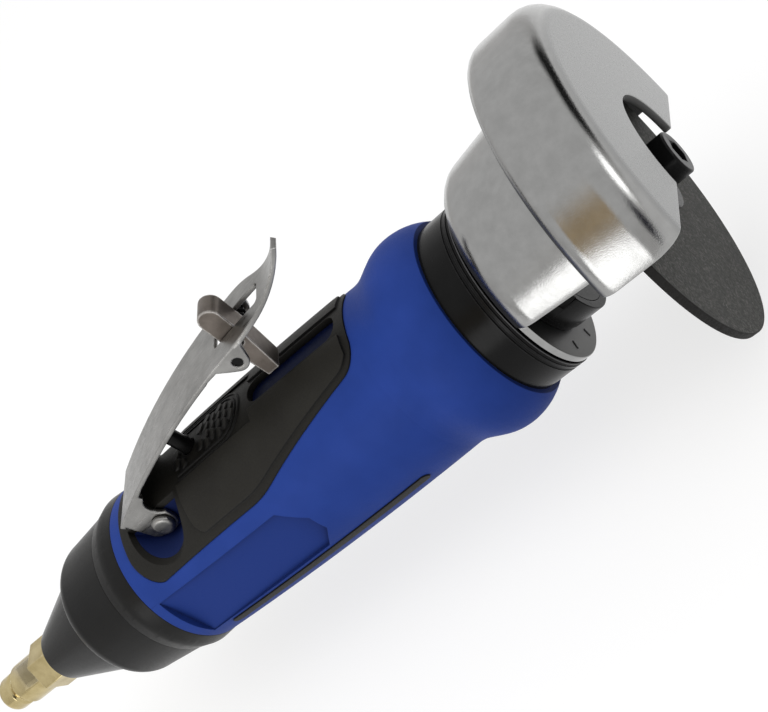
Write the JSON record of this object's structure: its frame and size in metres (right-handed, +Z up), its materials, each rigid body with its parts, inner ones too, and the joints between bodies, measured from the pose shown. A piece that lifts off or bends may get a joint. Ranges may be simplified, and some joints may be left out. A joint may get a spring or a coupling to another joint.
{
  "type": "air cut-off grinder",
  "caption": "Straight compressed-air cut-off grinder: lever throttle with lock-off, vane motor, thin abrasive disc under a turnable half guard.",
  "frame": {"origin": "on the motor axis, at the shoulder where the hose plug's sealing land meets its hexagon", "axes": "+X along the tool from the air inlet to the disc, +Z up through the throttle lever"},
  "size_m": [0.2334, 0.081, 0.0843],
  "materials": {
    "blue_composite": "fine grained, matte",
    "black_rubber": "soft, matte, moulded texture",
    "black_plastic": "satin moulding",
    "black_metal": "black oxide, satin",
    "guard_plate": "bright plated sheet steel",
    "lever_steel": "satin, tumbled edges",
    "lock_metal": "dull cast finish",
    "plug_brass": "turned",
    "disc_abrasive": "resin bonded grit over a woven net",
    "machined_steel": "ground",
    "motor_iron": "machined",
    "spring_steel": "drawn wire",
    "felt": "pressed felt",
    "seal_rubber": "moulded",
    "vane_resin": "fabric reinforced resin"
  },
  "bodies": {
    "body": {"air_nipple": "plug_brass", "inlet_bushing": "black_metal", "inlet_screen": "machined_steel", "exhaust_deflector": "black_plastic", "muffler_felt": "felt", "rear_band": "black_plastic", "grip_housing": "blue_composite", "soft_grip": "black_rubber", "flank_strips": "black_rubber", "clamp_collar": "black_metal", "lever_pin": "lever_steel", "valve_bushing": "plug_brass", "valve_seal_ring": "seal_rubber", "rear_end_plate": "motor_iron", "motor_cylinder": "motor_iron", "front_end_plate": "motor_iron", "locating_pin": "machined_steel", "front_bearing_housing": "motor_iron", "front_bearing_outer_ring": "machined_steel", "rear_bearing_outer_ring": "machined_steel", "guard_washer": "black_metal", "guard_nut": "black_metal"},
    "lever": {"throttle_lever": "lever_steel", "lock_pin": "machined_steel", "lock_spring": "spring_steel"},
    "lock": {"lock_lever": "lock_metal"},
    "valve": {"valve_stem": "machined_steel", "valve_spring": "spring_steel"},
    "spindle": {"rotor_spindle": "machined_steel", "rotor_vanes": "vane_resin", "front_bearing_inner_ring": "machined_steel", "rear_bearing_inner_ring": "machined_steel", "spindle_spacer": "machined_steel", "inner_flange": "black_metal", "cutting_disc": "disc_abrasive", "outer_washer": "black_metal", "disc_screw": "black_metal"},
    "front_balls": {"front_bearing_balls": "machined_steel"},
    "rear_balls": {"rear_bearing_balls": "machined_steel"},
    "guard": {"wheel_guard": "guard_plate"}
  },
  "joints": [
    {"name": "lever_swing", "type": "hinge", "parent": "body", "child": "lever", "pos_m": [0.0745, 0, 0.0174], "axis": [0, 1, 0], "range_deg": [0, 6], "stiffness_Nm_per_rad": 6, "springref_deg": -5.73},
    {"name": "lock_swing", "type": "hinge", "parent": "lever", "child": "lock", "pos_m": [0.1243, 0, 0.03602], "axis": [0, 1, 0], "range_deg": [0, 58], "stiffness_Nm_per_rad": 0.0002, "springref_deg": -57.3},
    {"name": "valve_slide", "type": "slide", "parent": "body", "child": "valve", "axis": [0, 0, -1], "range_m": [0, 0.002], "deforming": ["valve_spring"]},
    {"name": "spindle_spin", "type": "hinge", "parent": "body", "child": "spindle", "pos_m": [0.16, 0, 0], "axis": [1, 0, 0], "continuous": true},
    {"name": "front_ball_orbit", "type": "hinge", "parent": "body", "child": "front_balls", "pos_m": [0.1586, 0, 0], "axis": [1, 0, 0], "continuous": true},
    {"name": "rear_ball_orbit", "type": "hinge", "parent": "body", "child": "rear_balls", "pos_m": [0.1021, 0, 0], "axis": [1, 0, 0], "continuous": true},
    {"name": "guard_turn", "type": "hinge", "parent": "body", "child": "guard", "pos_m": [0.172, 0, 0], "axis": [1, 0, 0], "continuous": true}
  ],
  "couplings": [
    {"joint": "lock_swing", "follows": "lever_swing", "ratio": 9.66},
    {"joint": "valve_slide", "follows": "lever_swing", "m_per_rad": 0.019},
    {"joint": "front_ball_orbit", "follows": "spindle_spin", "ratio": 0.395},
    {"joint": "rear_ball_orbit", "follows": "spindle_spin", "ratio": 0.3714}
  ]
}
